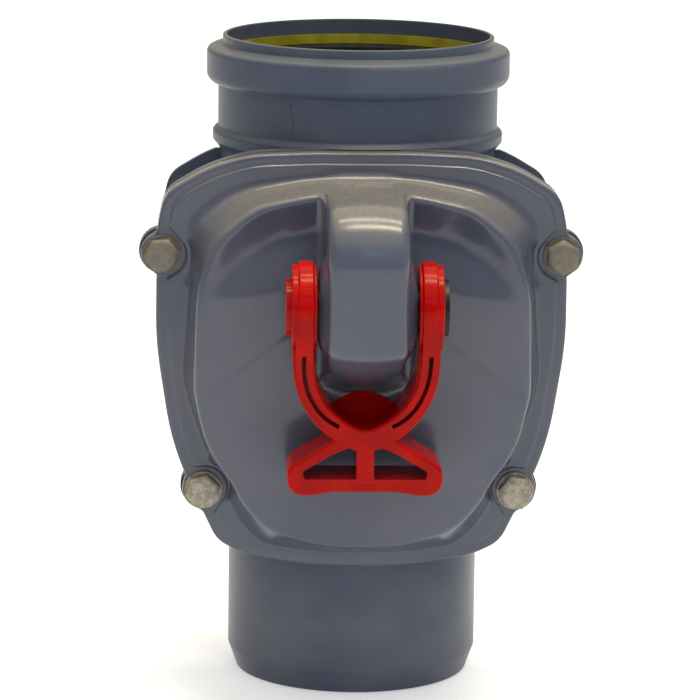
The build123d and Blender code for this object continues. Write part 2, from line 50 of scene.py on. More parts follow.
class Wire:  # one socket of a shader tree; arithmetic on it adds Math nodes
    def __init__(self, wiring, socket):
        self.wiring = wiring
        self.socket = socket

    def calculate(self, operation, first, second):
        return self.wiring.add("ShaderNodeMath", {"operation": operation}, {0: first, 1: second})

    def __add__(self, other):
        return self.calculate("ADD", self, other)

    def __radd__(self, other):
        return self.calculate("ADD", other, self)

    def __sub__(self, other):
        return self.calculate("SUBTRACT", self, other)

    def __rsub__(self, other):
        return self.calculate("SUBTRACT", other, self)

    def __mul__(self, other):
        return self.calculate("MULTIPLY", self, other)

    def __rmul__(self, other):
        return self.calculate("MULTIPLY", other, self)


def tint(red, green, blue, level=1.0):  # a colour as a screen shows it, 0 to 255, turned linear for a shader
    channels = np.array([red, green, blue]) / 255
    linear = np.where(channels <= 0.04045, channels / 12.92, ((channels + 0.055) / 1.055) ** 2.4)
    return (*(linear * level).tolist(), 1.0)


class Wiring:  # adds and links nodes in one shader tree
    def __init__(self, tree):
        self.tree = tree

    def add(self, kind, settings, inputs, output=0):
        node = self.tree.nodes.new(kind)
        for key, value in settings.items():
            setattr(node, key, value)
        for key, value in inputs.items():
            if isinstance(value, Wire):
                self.tree.links.new(value.socket, node.inputs[key])
            else:
                node.inputs[key].default_value = value
        return Wire(self, node.outputs[output])

    def between(self, value, low, high, start=0.0, end=1.0):  # soft step from start to end
        return self.add("ShaderNodeMapRange", {"interpolation_type": "SMOOTHSTEP"},
                        {"Value": value, "From Min": low, "From Max": high, "To Min": start, "To Max": end})

    def mixed(self, share, first, second):  # colours
        return self.add("ShaderNodeMix", {"data_type": "RGBA"}, {0: share, 6: first, 7: second}, 2)

    def along(self, vector, axis):  # the part of a vector along an axis
        return self.add("ShaderNodeVectorMath", {"operation": "DOT_PRODUCT"}, {0: vector, 1: axis}, "Value")

    def seenRays(self):  # 1 for rays from the camera, from mirrors and through glass
        found = self.add("ShaderNodeLightPath", {}, {}, "Is Camera Ray")
        for ray in ("Is Glossy Ray", "Is Transmission Ray"):
            found = found.calculate("MAXIMUM", found, self.add("ShaderNodeLightPath", {}, {}, ray))
        return found


class Finish(Wiring):  # one material; its patterns are measured in millimetres in the object's own frame
    def __init__(self, name, **constants):
        self.material = bpy.data.materials.new(name)
        self.material.use_nodes = True
        super().__init__(self.material.node_tree)
        self.shader = self.tree.nodes["Principled BSDF"]
        for socket, value in constants.items():
            self.shader.inputs[socket.replace("_", " ")].default_value = value
        metres = self.add("ShaderNodeTexCoord", {}, {}, "Object")
        self.place = self.add("ShaderNodeVectorMath", {"operation": "SCALE"}, {0: metres, "Scale": 1 / mm})

    def noise(self, size, detail=3.0, stretch=(1, 1, 1), roughness=0.5):  # size: one lump, in mm
        scale = [1 / (size * s) for s in stretch]
        where = self.add("ShaderNodeVectorMath", {"operation": "MULTIPLY"}, {0: self.place, 1: scale})
        return self.add("ShaderNodeTexNoise", {}, {"Vector": where, "Scale": 1.0, "Detail": detail,
                                                   "Roughness": roughness})

    def facing(self, axis):  # how far the surface faces along an axis, from -1 to 1
        return self.along(self.add("ShaderNodeNewGeometry", {}, {}, "Normal"), axis)

    def bump(self, height, depth, under=None):  # height from 0 to 1, depth in mm, over another bump or none
        inputs = {"Height": height, "Distance": depth * mm, "Strength": 1.0}
        if under is not None:
            inputs["Normal"] = under
        return self.add("ShaderNodeBump", {}, inputs)

    def feed(self, **wires):
        for socket, wire in wires.items():
            self.tree.links.new(wire.socket, self.shader.inputs[socket.replace("_", " ")])
        return self.material


# Finishes

# dust tint: real dust on what faces up, mixed in strongly enough to be a painted ceiling reflection as well
bodyPvc = dict(
    base=(71, 80, 98), pale=(79, 87, 102), deep=(62, 71, 92), dustAndSheenTint=(132, 127, 116), scuffAndLowLightTint=(120, 122, 128),
    mottle=40, speckle=1.5, speckling=0.2, scuffing=0.3, roughness=0.34, gloss=0.16, dustAndSheenShare=0.2, grain=0.008,
    # heights and share of the painted light from below that makes lower parts paler
    wave=0.04, lowLightHeights=(30, 75), lowLightShare=0.4)
# the cover's larger dust share paints more ceiling reflection onto its up-facing slopes
coverPvc = dict(bodyPvc, base=(77, 81, 97), pale=(84, 88, 102), deep=(68, 75, 92), roughness=0.17, gloss=0.42,
                dustAndSheenShare=0.5)


def greyPvc(name, look):
    # moulded grey pipe plastic: cloudy colour, fine grain, faint scuffs, paler towards the bottom as painted
    # light from below, and dust on what faces up that also paints the ceiling's reflection there
    finish = Finish(name, IOR=1.5, Specular_IOR_Level=look["gloss"])
    cloud = finish.between(finish.noise(look["mottle"], 4), 0.35, 0.65)
    speckle = finish.noise(look["speckle"], 2)
    body = finish.mixed(cloud, tint(*look["deep"]), tint(*look["pale"]))
    body = finish.mixed(0.5, body, tint(*look["base"]))
    body = finish.mixed(finish.between(speckle, 0.6, 0.75, 0, look["speckling"]), body, tint(*look["pale"]))
    lines = finish.noise(1.0, 2, (0.5, 0.5, 14))
    rubbed = finish.between(finish.noise(24, 3), 0.56, 0.72)
    scuffs = finish.between(lines, 0.66, 0.72) * rubbed
    body = finish.mixed(scuffs * look["scuffing"], body, tint(*look["scuffAndLowLightTint"]))
    # painted light from below: paler towards the bottom by height alone, broken by streaks, in the scuff
    # colour
    height = finish.along(finish.place, (0, 0, 1))
    streaks = finish.between(finish.noise(30, 4, (1, 1, 0.6)), 0.25, 0.7, 0.5, 1)
    paintedLowLight = finish.between(height, *look["lowLightHeights"], look["lowLightShare"], 0) * streaks
    body = finish.mixed(paintedLowLight, body, tint(*look["scuffAndLowLightTint"]))
    # painted reflection: up-facing faces get a beige dust tint that also stands in for the ceiling's
    # reflection
    upFacingDustAndSheen = finish.between(finish.facing((0, 0, 1)), 0.45, 0.95, 0, look["dustAndSheenShare"])
    dustAndSheenMask = upFacingDustAndSheen * finish.between(speckle, 0.3, 0.7, 0.6, 1)
    body = finish.mixed(dustAndSheenMask, body, tint(*look["dustAndSheenTint"]))
    rough = look["roughness"] + 0.06 * (cloud - 0.5) + 0.12 * scuffs + 0.12 * dustAndSheenMask
    grain = finish.bump(finish.noise(0.45, 3), look["grain"])
    surface = finish.bump(finish.noise(17, 2), look["wave"], grain)
    return finish.feed(Base_Color=body, Roughness=rough, Normal=surface)


red = dict(base=(174, 8, 0), deep=(152, 4, 0), rub=(205, 60, 40), scratching=0.2, roughness=0.16, grain=0.005,
           wave=0.03)


def redPlastic():  # glossy coloured plastic with slight sink marks and fine handling scratches
    finish = Finish("redPlastic", IOR=1.5, Specular_IOR_Level=0.1)
    cloud = finish.noise(14, 3)
    body = finish.mixed(finish.between(cloud, 0.35, 0.7), tint(*red["deep"]), tint(*red["base"]))
    scratches = finish.between(finish.noise(0.6, 2, (16, 1, 1)), 0.68, 0.74)
    body = finish.mixed(scratches * red["scratching"], body, tint(*red["rub"]))
    rough = red["roughness"] + 0.1 * cloud * cloud + 0.15 * scratches
    grain = finish.bump(finish.noise(0.5, 3), red["grain"])
    surface = finish.bump(finish.noise(9, 1), red["wave"], grain)
    return finish.feed(Base_Color=body, Roughness=rough, Normal=surface)


# the high dark tint makes the bolts darker above 140 mm, by height alone
steel = dict(base=(166, 160, 146), dark=(132, 126, 114), bright=(190, 186, 174), rust=(120, 92, 62),
             highDarkTint=(98, 93, 86), highDarkFrom=(140, 170), highDarkShare=0.75, rubbing=0.5, rusting=0.45, roughness=0.5,
             grain=0.05)


def zincSteel():
    # dull zinc plating with a dry patina and rust specks, brighter where a spanner has rubbed, darker high up
    finish = Finish("zincSteel", Metallic=0.6)
    patches = finish.noise(2.6, 4, roughness=0.6)
    body = finish.mixed(finish.between(patches, 0.36, 0.62), tint(*steel["dark"]), tint(*steel["base"]))
    rubs = finish.between(finish.noise(0.8, 3), 0.58, 0.7)
    body = finish.mixed(rubs * steel["rubbing"], body, tint(*steel["bright"]))
    rust = finish.between(finish.noise(3.4, 5, roughness=0.65), 0.62, 0.78, 0, steel["rusting"])
    body = finish.mixed(rust, body, tint(*steel["rust"]))
    # darker above 140 mm by height alone, the same on both upper bolts
    height = finish.along(finish.place, (0, 0, 1))
    darkerHigh = finish.between(height, *steel["highDarkFrom"], 0, steel["highDarkShare"])
    body = finish.mixed(darkerHigh, body, tint(*steel["highDarkTint"]))
    rough = steel["roughness"] + 0.2 * patches - 0.12 * rubs + 0.2 * rust
    grain = finish.bump(finish.noise(0.6, 4), steel["grain"])
    return finish.feed(Base_Color=body, Roughness=rough, Normal=grain)


sheet = dict(dark=(150, 150, 148), bright=(185, 186, 186), roughness=0.25, brushing=0.006)


def stainless():  # rolled sheet: straight brushing along its height
    finish = Finish("stainless", Metallic=1.0)
    lines = finish.noise(0.3, 3, (1, 1, 30))
    body = finish.mixed(lines, tint(*sheet["dark"]), tint(*sheet["bright"]))
    rough = sheet["roughness"] + 0.2 * lines
    return finish.feed(Base_Color=body, Roughness=rough, Normal=finish.bump(lines, sheet["brushing"]))


rubber = dict(base=(16, 16, 17), bloom=(32, 32, 33), roughness=0.5, grain=0.02)


def blackRubber():  # matt rubber with a bloom
    finish = Finish("blackRubber", IOR=1.45)
    bloom = finish.noise(6, 4)
    body = finish.mixed(finish.between(bloom, 0.4, 0.7), tint(*rubber["base"]), tint(*rubber["bloom"]))
    rough = rubber["roughness"] + 0.25 * bloom
    grain = finish.bump(finish.noise(0.4, 3), rubber["grain"])
    return finish.feed(Base_Color=body, Roughness=rough, Normal=grain)


olive = dict(base=(132, 128, 14), pale=(156, 150, 30), roughness=0.35, grain=0.01)


def oliveRing():  # coloured retaining ring
    finish = Finish("oliveRing", IOR=1.5)
    cloud = finish.noise(12, 3)
    body = finish.mixed(finish.between(cloud, 0.35, 0.65), tint(*olive["base"]), tint(*olive["pale"]))
    rough = olive["roughness"] + 0.2 * cloud
    grain = finish.bump(finish.noise(0.6, 2), olive["grain"])
    return finish.feed(Base_Color=body, Roughness=rough, Normal=grain)


black = dict(base=(14, 14, 15), pale=(28, 28, 30), roughness=0.28, grain=0.01)


def blackPlastic():  # axle, cam and bushes
    finish = Finish("blackPlastic", IOR=1.5, Specular_IOR_Level=0.25)
    cloud = finish.noise(5, 3)
    body = finish.mixed(cloud, tint(*black["base"]), tint(*black["pale"]))
    rough = black["roughness"] + 0.2 * cloud
    grain = finish.bump(finish.noise(0.5, 2), black["grain"])
    return finish.feed(Base_Color=body, Roughness=rough, Normal=grain)


coverFinish = greyPvc("coverPvc", coverPvc)
finishes = {"grey_pvc": greyPvc("bodyPvc", bodyPvc), "red_plastic": redPlastic(), "zinc_steel": zincSteel(),
            "stainless": stainless(), "rubber": blackRubber(), "yellow_plastic": oliveRing(),
            "black_plastic": blackPlastic()}
for part in frame["record"]["subparts"]:
    mesh = nodes[part["node"]].data
    mesh.materials.clear()
    mesh.materials.append(finishes[part["material_slot"]])
print("finishes:", len(finishes) + 1)


# Surface tools

def addSurface(name, points, material, wrap=False, keep=None):
    # grid of points in mm, rows by columns; wrap joins the last column to the first; keep masks the quads
    rows, columns = points.shape[:2]
    index = np.arange(rows * columns).reshape(rows, columns)
    right = np.roll(index, -1, axis=1) if wrap else index[:, 1:]
    left = index if wrap else index[:, :-1]
    quads = np.stack([left[:-1], right[:-1], right[1:], left[1:]], axis=-1)
    if keep is not None:
        quads = quads[keep]
    return addMesh(name, points.reshape(-1, 3), quads.reshape(-1, 4), material)


def addMesh(name, points, quads, material):
    # points in mm and quads as one smooth piece, with points that meet welded and lone points dropped
    mesh = bpy.data.meshes.new(name)
    mesh.from_pydata((points * mm).tolist(), [], quads.tolist())
    work = bmesh.new()
    work.from_mesh(mesh)
    bmesh.ops.remove_doubles(work, verts=work.verts, dist=2e-6)  # seams and poles close
    loose = [vertex for vertex in work.verts if not vertex.link_faces]
    bmesh.ops.delete(work, geom=loose)
    work.to_mesh(mesh)
    work.free()
    mesh.materials.append(material)
    mesh.shade_smooth()
    piece = bpy.data.objects.new(name, mesh)
    bpy.context.scene.collection.objects.link(piece)
    return piece


def addCopies(name, grids, material):  # several closed grids, wrapped round, as one piece
    rows, columns = grids[0].shape[:2]
    index = np.arange(rows * columns).reshape(rows, columns)
    right = np.roll(index, -1, axis=1)
    quads = np.stack([index[:-1], right[:-1], right[1:], index[1:]], axis=-1).reshape(-1, 4)
    every = np.concatenate([quads + rows * columns * number for number in range(len(grids))])
    return addMesh(name, np.concatenate([grid.reshape(-1, 3) for grid in grids]), every, material)


def roundedCorners(corners, steps=14):
    # closed curve: at each corner (x, z, radius) an arc tangent to both sides; its centre is on the bisector
    # at radius / sin(half the corner's angle), and its points turn evenly from one tangent point to the next
    spot, radius = corners[:, :2], corners[:, 2:]
    back = np.roll(spot, 1, axis=0) - spot
    ahead = np.roll(spot, -1, axis=0) - spot
    back /= np.linalg.norm(back, axis=1, keepdims=True)
    ahead /= np.linalg.norm(ahead, axis=1, keepdims=True)
    half = np.arccos(np.clip((back * ahead).sum(axis=1), -1, 1))[:, None] / 2
    middle = (back + ahead) / np.linalg.norm(back + ahead, axis=1, keepdims=True)
    centre = spot + middle * radius / np.sin(half)
    first = spot + back * radius / np.tan(half) - centre
    last = spot + ahead * radius / np.tan(half) - centre
    turn = (np.pi - 2 * half)[:, None]
    share = np.linspace(0, 1, steps)[None, :, None]
    arcs = (np.sin((1 - share) * turn) * first[:, None] + np.sin(share * turn) * last[:, None]) / np.sin(turn)
    return (centre[:, None] + arcs).reshape(-1, 2)


def mirroredOutline(half):  # a half outline and its mirror image about X = 0
    half = np.array(half, float)
    return roundedCorners(np.vstack([half, (half * [-1, 1, 1])[::-1]]))


def softMax(first, second, width):  # the larger of two fields, plus (width - gap) squared / (4 * width)
    near = np.clip(width - np.abs(first - second), 0, None) / width
    return np.maximum(first, second) + near ** 2 * width / 4


def softMin(first, second, width):  # the lesser of two, rounded the same way
    return -softMax(-first, -second, width)


def rampBetween(value, low, high):  # smooth step of a field: share squared * (3 - 2 * share)
    share = np.clip((value - low) / (high - low), 0, 1)
    return share ** 2 * (3 - 2 * share)


def bent(start, corner, end, share):  # parabola from start to end that leans towards the corner
    return (1 - share) ** 2 * start + 2 * share * (1 - share) * corner + share ** 2 * end


def thickened(surface, wall):  # the wall grows inwards from a surface
    thickness = surface.modifiers.new("wall", "SOLIDIFY")
    thickness.thickness = wall * mm
    thickness.offset = -1
    return surface


# Inspection cover

cover = dict(  # mm; outlines are (x, z, corner radius) of the right half, from the bottom up
    centre=(0, 155), seat=-62.5, face=-69.0, step=0.8, crest=-92.0, wall=3.2, rimRound=2.0, margin=4.4,
    flange=[(20, 61.2, 150), (49.5, 66.4, 40), (60.8, 72.4, 14), (80, 113, 120), (87.1, 159, 150),
            (86.8, 207.8, 60), (83.3, 222.8, 14), (65.8, 233.3, 60), (47.8, 239, 60), (20, 240.2, 200)],
    base=[(16, 67.1, 120), (43, 70.6, 26), (52.4, 83.5, 30), (65.4, 113, 60), (76, 143, 40), (72.5, 184, 120),
          (71.5, 208, 14), (55, 222.5, 40), (20, 229.3, 120)],
    ridge=[(14, 74.3, 60), (38, 82, 26), (48, 91.5, 50), (66, 119, 50), (70, 140, 50), (69.8, 184, 60),
           (62, 206, 26), (45, 220.5, 30), (18, 226.5, 90)],
    bolts=[(84.5, 196.8), (66.6, 95.0)], lug=9.0, lugBlend=2.5, boltSeat=10.0, seatBlend=2.0, stepRun=0.9,
    stepRounds=(0.5, 0.4), baseGap=2.2, baseBlend=0.6, baseRound=5.5, ridgeRound=(4.0, 6.5), softFoot=34,
    softTop=(200, 222), crestRun=7.0, bowlMargin=1.6, bowlWidth=17.0, bowlFall=(0.062, 0.22),
    bowlHinge=(37, 185.5), wedgeFall=(0.042, 0.33), fanTop=178.0, fanSpread=1.4, fanFall=0.04, fanWall=0.3,
    spokes=400, cornerRows=9, longestRow=2.6, crestRows=45)
opening = dict(side=5.0, behind=4.0, bottom=8.0, top=218.0)  # in the cover's wall, within the pod's foot
pod = dict(  # mm and radians; places are (depth, height)
    front=-141.5, top=227.5, root=229.3, ridgeTop=226.5, sunk=0.25, underside=141.3, chin=166.0,
    heel=(-97.0, 144.9), heelRun=7.4, tail=(0.9, -7.0), crownRound=26.0, crownTurn=0.046, chinRound=9.0,
    halfWidth=16.5, edgeRound=4.5, edgeLean=0.2, crowning=70.0, wall=3.0,
    cheekFace=20.2, cheekOuter=24.0, cheekInner=13.5, axle=(-120.0, 184.0),
    foot=6.0, footRise=0.28, footDip=1.5, footLeast=0.2,  # widest fillet, its share of the height, and limits
    footHeights=(221.5, 201.5, 163.0, 143.7),  # on the shell beside the crown's ends, the chin and the heel
    swell=(3.0, 24.0), swellFlat=5.0,  # heights over the shell where the swell fades out, and its flat middle
    buried=(0.3, 0.5), ridgeGap=2.5, linesBelow=8.0)  # buried: how deep the swell and the skirt end
podRows = dict(root=9, roof=22, crown=26, front=12, chin=12, sole=13, tail=11)  # in the order they run
podEnds = dict(zip(podRows, np.cumsum(list(podRows.values())) - 1))  # the last row of each
crownStart = podEnds["roof"] + 1
podColumns = dict(flat=8, edge=10, wall=15, fillet=7)  # of the right half, from the middle out
spokeAngles = np.linspace(0, 2 * np.pi, cover["spokes"], endpoint=False)


def spokeLength(outline):  # distance from the cover's centre to an outline along each spoke
    ahead = np.roll(outline, -1, axis=0)
    steps = np.linspace(0, 1, 16, endpoint=False)[None, :, None]
    dense = outline[:, None] + (ahead - outline)[:, None] * steps
    offset = dense.reshape(-1, 2) - cover["centre"]
    angle = np.arctan2(offset[:, 1], offset[:, 0]) % (2 * np.pi)
    order = np.argsort(angle)
    return np.interp(spokeAngles, angle[order], np.linalg.norm(offset, axis=1)[order], period=2 * np.pi)


def slant(length):  # how much longer a spoke's step is than the distance across the outline
    turn = 2 * np.pi / len(length)
    return np.sqrt(1 + ((np.roll(length, -1) - np.roll(length, 1)) / (2 * turn) / length) ** 2)


def boltCircle(radius, side):  # where the spokes meet a circle round each bolt, far side +1 or near side -1
    found = []
    for x, z in cover["bolts"]:
        for mirror in (-1, 1):
            away = np.array([mirror * x, z]) - cover["centre"]
            reach = np.hypot(*away)
            swing = spokeAngles - math.atan2(away[1], away[0])
            under = radius ** 2 - (reach * np.sin(swing)) ** 2
            hits = (under > 0) & (np.cos(swing) > 0)
            root = reach * np.cos(swing) + side * np.sqrt(np.where(hits, under, 0))
            found.append(np.where(hits, root, -side * 1e3))
    return found


def placeOn(length, depth):  # centre + length * (cos, sin) of each spoke's angle, at a depth
    x = cover["centre"][0] + length * np.cos(spokeAngles)
    z = cover["centre"][1] + length * np.sin(spokeAngles)
    return np.stack([x, np.broadcast_to(depth, x.shape), z], axis=-1)


def roundedStrip(levels, samples):
    # carries a cornered profile round the spokes: each level is (points, setback), and a corner becomes the
    # parabola between the points one setback before and after it, or under half of the next stretch
    rows = [levels[0][0]]
    for (before, _), (corner, setback), (after, _) in zip(levels, levels[1:], levels[2:]):
        back = np.linalg.norm(before - corner, axis=1)
        ahead = np.linalg.norm(after - corner, axis=1)
        trim = np.minimum(setback, 0.45 * np.minimum(back, ahead))
        start = corner + (before - corner) * (trim / back)[:, None]
        end = corner + (after - corner) * (trim / ahead)[:, None]
        rows.extend(bent(start, corner, end, np.linspace(0, 1, samples)[:, None, None]))
    rows.append(levels[-1][0])
    return np.array(rows)


def subdivided(rows, longest):  # more rows where two neighbours lie far apart, the same share on every spoke
    made = [rows[0]]
    for first, second in zip(rows, rows[1:]):
        count = max(1, int(np.ceil(np.linalg.norm(second - first, axis=1).mean() / longest)))
        made.extend(first + (second - first) * k / count for k in range(1, count + 1))
    return np.array(made)


def crestField(x, z, inset):
    # depth behind the crest plane at a distance inside its edge: a bowl is the lesser of a falling floor and
    # a wedge, reached in a smooth curve; the fan is the lesser of two diagonal walls and a gentle fall
    out = np.abs(x) - cover["bowlHinge"][0]
    rise = z - cover["bowlHinge"][1]
    floor = cover["bowlFall"][0] * out + cover["bowlFall"][1] * rise
    wedge = cover["wedgeFall"][0] * out + cover["wedgeFall"][1] * rise
    none = np.zeros_like(x)
    bowl = softMax(softMin(floor, wedge, 0.5), none, 0.8)
    inward = np.clip((inset - cover["bowlMargin"]) / cover["bowlWidth"], 0, 1)
    share = rampBetween(inward ** 0.75, 0, 1)
    drop = cover["fanTop"] - z
    side = (pod["halfWidth"] + drop * cover["fanSpread"] - np.abs(x)) * cover["fanWall"]
    fan = softMax(softMin(side, drop * cover["fanFall"], 0.5), none, 0.3)
    return bowl * share + fan


def crestDepth(x, z):  # the dome's front at any place inside the crest outline
    offset = np.stack([x - cover["centre"][0], z - cover["centre"][1]], axis=-1)
    angle = np.arctan2(offset[..., 1], offset[..., 0]) % (2 * np.pi)
    edge = np.interp(angle, spokeAngles, ridgeLength, period=2 * np.pi)
    lean = np.interp(angle, spokeAngles, slant(ridgeLength), period=2 * np.pi)
    inset = np.clip((edge - np.linalg.norm(offset, axis=-1)) / lean, 0, None)
    return cover["crest"] + crestField(x, z, inset)


flangeLength = spokeLength(mirroredOutline(cover["flange"]))
baseLength = spokeLength(mirroredOutline(cover["base"]))
ridgeLength = spokeLength(mirroredOutline(cover["ridge"]))


def crestFrom(length):  # the crest plane with its fan at a distance along each spoke
    x, _, z = np.moveaxis(placeOn(length, 0), -1, 0)
    return placeOn(length, cover["crest"] + crestField(x, z, np.zeros_like(x)))


def makeCoverShell():
    # rim, plateau, step and dome as one profile carried round the spokes, then the crest field to the middle;
    # the wall is open under the pod
    rim = flangeLength
    for circle in boltCircle(cover["lug"], 1):
        rim = softMax(rim, circle, cover["lugBlend"])
    stepLine = flangeLength - cover["margin"] * slant(flangeLength)
    for circle in boltCircle(cover["boltSeat"], -1):
        stepLine = softMin(stepLine, circle, cover["seatBlend"])
    base = softMin(baseLength, stepLine - cover["baseGap"], cover["baseBlend"])
    raised = cover["face"] - cover["step"]
    inner = ridgeLength - cover["crestRun"] * slant(ridgeLength)
    ridgeX, _, ridgeZ = np.moveaxis(placeOn(ridgeLength, 0), -1, 0)
    foot = np.exp(-(ridgeX / cover["softFoot"]) ** 2) * (ridgeZ < cover["centre"][1])
    soft = np.clip(foot + rampBetween(ridgeZ, *cover["softTop"]), 0, 1)
    firmest, softest = cover["ridgeRound"]
    levels = [(placeOn(rim, cover["seat"]), 0), (placeOn(rim, cover["face"]), cover["rimRound"]),
              (placeOn(stepLine, cover["face"]), cover["stepRounds"][0]),
              (placeOn(stepLine - cover["stepRun"], raised), cover["stepRounds"][1]),
              (placeOn(base, raised), cover["baseRound"]),
              (crestFrom(ridgeLength), firmest + (softest - firmest) * soft), (crestFrom(inner), 0)]
    strip = subdivided(roundedStrip(levels, cover["cornerRows"]), cover["longestRow"])
    length = inner * np.linspace(1, 0, cover["crestRows"] + 1)[1:, None]
    x = cover["centre"][0] + length * np.cos(spokeAngles)
    z = cover["centre"][1] + length * np.sin(spokeAngles)
    field = np.stack([x, crestDepth(x, z), z], axis=-1)
    reach = np.linalg.norm(strip[..., [0, 2]] - cover["centre"], axis=-1)
    inset = np.clip((ridgeLength - reach) / slant(ridgeLength), 0, None)
    x, z = strip[..., 0], strip[..., 2]
    strip[..., 1] += crestField(x, z, inset) - crestField(x, z, 0 * inset)
    points = np.concatenate([strip, field])
    x, depth, z = np.moveaxis((points[:-1] + points[1:]) / 2, -1, 0)
    under = (np.abs(x) < pod["halfWidth"] - opening["side"]) & (depth < cover["crest"] + opening["behind"])
    under &= (z > pod["underside"] + opening["bottom"]) & (z < opening["top"])
    shell = addSurface("coverShell", points, coverFinish, wrap=True, keep=~under)
    return thickened(shell, cover["wall"]), strip


def podPath():
    # the nose's middle line in depth and height: sunk a little below the plateau and the ridge's foot, then
    # over the roof and crown, down the front, round the chin, and along the sole and tail back into the dome
    crownCentre = np.array([pod["front"] + pod["crownRound"], pod["top"] - pod["crownRound"]])
    turn = np.linspace(pod["crownTurn"], np.pi / 2, podRows["crown"])[:, None]
    crown = crownCentre + pod["crownRound"] * np.hstack([-np.sin(turn), np.cos(turn)])
    corner = np.array([cover["face"] - cover["step"] + pod["sunk"], pod["root"] - pod["sunk"]])
    down = np.array([cover["crest"] - corner[0], pod["ridgeTop"] - pod["root"]])
    down *= cover["baseRound"] / np.linalg.norm(down)
    share = np.linspace(0, 1, podRows["root"])[:, None]
    root = bent(corner + [0, cover["baseRound"]], corner, corner + down, share)
    roof = np.linspace(root[-1], crown[0], podRows["roof"] + 2)[1:-1]
    heel = np.array(pod["heel"])
    under = heel - (pod["front"], pod["chin"])
    lean = math.atan2(-under[1], under[0])
    bend = np.linspace(0, np.pi / 2 - lean, podRows["chin"])
    tangent = pod["chinRound"] * math.tan((np.pi / 2 - lean) / 2)
    chinCentre = np.array([pod["front"] + pod["chinRound"], pod["chin"] + tangent])
    chin = chinCentre + pod["chinRound"] * np.stack([-np.cos(bend), -np.sin(bend)], axis=-1)
    front = np.linspace(crown[-1], chin[0], podRows["front"] + 2)[1:-1]
    sole = np.linspace(chin[-1], heel, podRows["sole"] + 1)[1:]
    corner = heel + under / np.linalg.norm(under) * pod["heelRun"]
    share = np.linspace(0, 1, podRows["tail"] + 1)[1:, None]
    tail = bent(heel, corner, corner + pod["tail"], share)
    return np.concatenate([root, roof, crown, front, chin, sole, tail])


def shellLines(strip, places):
    # where the shell meets planes across X, in depth and height: from the plateau down the slope and over the
    # bowl to below the nose, on as many rows on all of them
    upper = slice(1, cover["spokes"] // 2)
    plateau = cover["face"] - cover["step"] + 0.02
    first = int(np.argmax(strip[:, cover["spokes"] // 4, 1] < plateau))  # the first row that reaches it
    lines = []
    for place in places:
        slope = np.array([[np.interp(place, row[upper, 0][::-1], row[upper, axis][::-1]) for axis in (1, 2)]
                          for row in strip[first:]])
        height = np.linspace(slope[-1, 1], pod["underside"] - pod["linesBelow"], 64)[1:]
        depth = crestDepth(np.full(len(height), place), height)
        lines.append(np.concatenate([slope, np.stack([depth, height], axis=-1)]))
    return np.array(lines)


def alongLine(line, spot):  # points of a line at fractional row numbers
    rows = np.arange(len(line))
    return np.stack([np.interp(spot, rows, line[:, 0]), np.interp(spot, rows, line[:, 1])], axis=-1)


def runAlong(path):  # distance along a path
    return np.concatenate([[0], np.cumsum(np.linalg.norm(np.diff(path, axis=0), axis=1))])


def sideways(path):  # unit directions across a path, to the right of the way it runs
    ahead = np.gradient(path, axis=0)
    ahead /= np.linalg.norm(ahead, axis=1, keepdims=True)
    return np.stack([ahead[:, 1], -ahead[:, 0]], axis=-1)


def podFeet(path, middle, beside):
    # which row of the shell each row of the nose stands on: the nearest one as far as the ridge, then a share
    # of the way between chosen heights
    rows = np.arange(len(beside))
    ridgeEnd = int(np.argmax(path[:, 0] < cover["crest"] + pod["ridgeGap"]))
    dense = np.linspace(0, len(rows) - 1, 20 * len(rows))
    gaps = np.linalg.norm(path[:ridgeEnd + 1, None] - alongLine(middle, dense)[None], axis=-1)
    near = np.maximum.accumulate(dense[gaps.argmin(axis=1)])
    heights = np.array([*pod["footHeights"], path[-1, 1]])
    anchors = np.concatenate([[near[-1]], np.interp(-heights, -beside[:, 1], rows)])
    run = runAlong(path)
    ends = run[[ridgeEnd, crownStart, *[podEnds[stretch] for stretch in ("crown", "chin", "sole", "tail")]]]
    return np.concatenate([near, np.interp(run[ridgeEnd + 1:], ends, anchors)])


def podBand():
    # right half of the nose's section, as places across X and how far each sinks below the middle line: first
    # place squared / (2 * crowning radius), then the arc of the rounded edge, from its lean to a right angle
    edge, lean = pod["edgeRound"], pod["edgeLean"]
    flat = pod["halfWidth"] - edge * (1 - math.sin(lean))
    across = np.linspace(0, flat, podColumns["flat"], endpoint=False)
    turn = np.linspace(lean, np.pi / 2, podColumns["edge"])
    places = np.concatenate([across, flat + edge * (np.sin(turn) - math.sin(lean))])
    sunkEdge = flat ** 2 / 2 / pod["crowning"] + edge * (math.cos(lean) - np.cos(turn))
    return places, np.concatenate([across ** 2 / 2 / pod["crowning"], sunkEdge])


def columnAt(place, line):  # a line in depth and height, set at one place or one per row across X
    return np.column_stack([np.broadcast_to(place, len(line)), line])


def podSide(edge, ground, shellEdge, away):
    # from the rounded edge to the shell: a straight wall, raised to a cone's cheek round the axle, then a
    # fillet as a parabola from the wall's foot to a skirt just inside the shell, wide where the nose is high
    half = pod["halfWidth"]
    wallward = edge[:, 1:] - ground
    height = (wallward * away).sum(axis=1)
    wallward /= np.linalg.norm(wallward, axis=1, keepdims=True)
    fillet = np.clip(height * pod["footRise"], -pod["footDip"], pod["foot"])
    foot = columnAt(half, ground + np.where(height[:, None] > 0, wallward, away) * fillet[:, None])
    made = []
    for share in np.linspace(0, 1, podColumns["wall"] + 1)[1:]:
        wall = edge * (1 - share) + foot * share
        distance = np.hypot(wall[:, 1] - pod["axle"][0], wall[:, 2] - pod["axle"][1])
        cheek = 1 - rampBetween(distance, pod["cheekInner"], pod["cheekOuter"])
        wall[:, 0] += (pod["cheekFace"] - half) * cheek
        made.append(wall)
    width = np.maximum(fillet, pod["footLeast"])
    beyond = ground + (shellEdge - ground) * (width / pod["foot"])[:, None]
    skirt = columnAt(half + width, beyond - away * pod["buried"][1])
    for share in np.linspace(0, 1, podColumns["fillet"] + 1)[1:]:
        made.append(bent(foot, columnAt(half, ground), skirt, share))
    return made


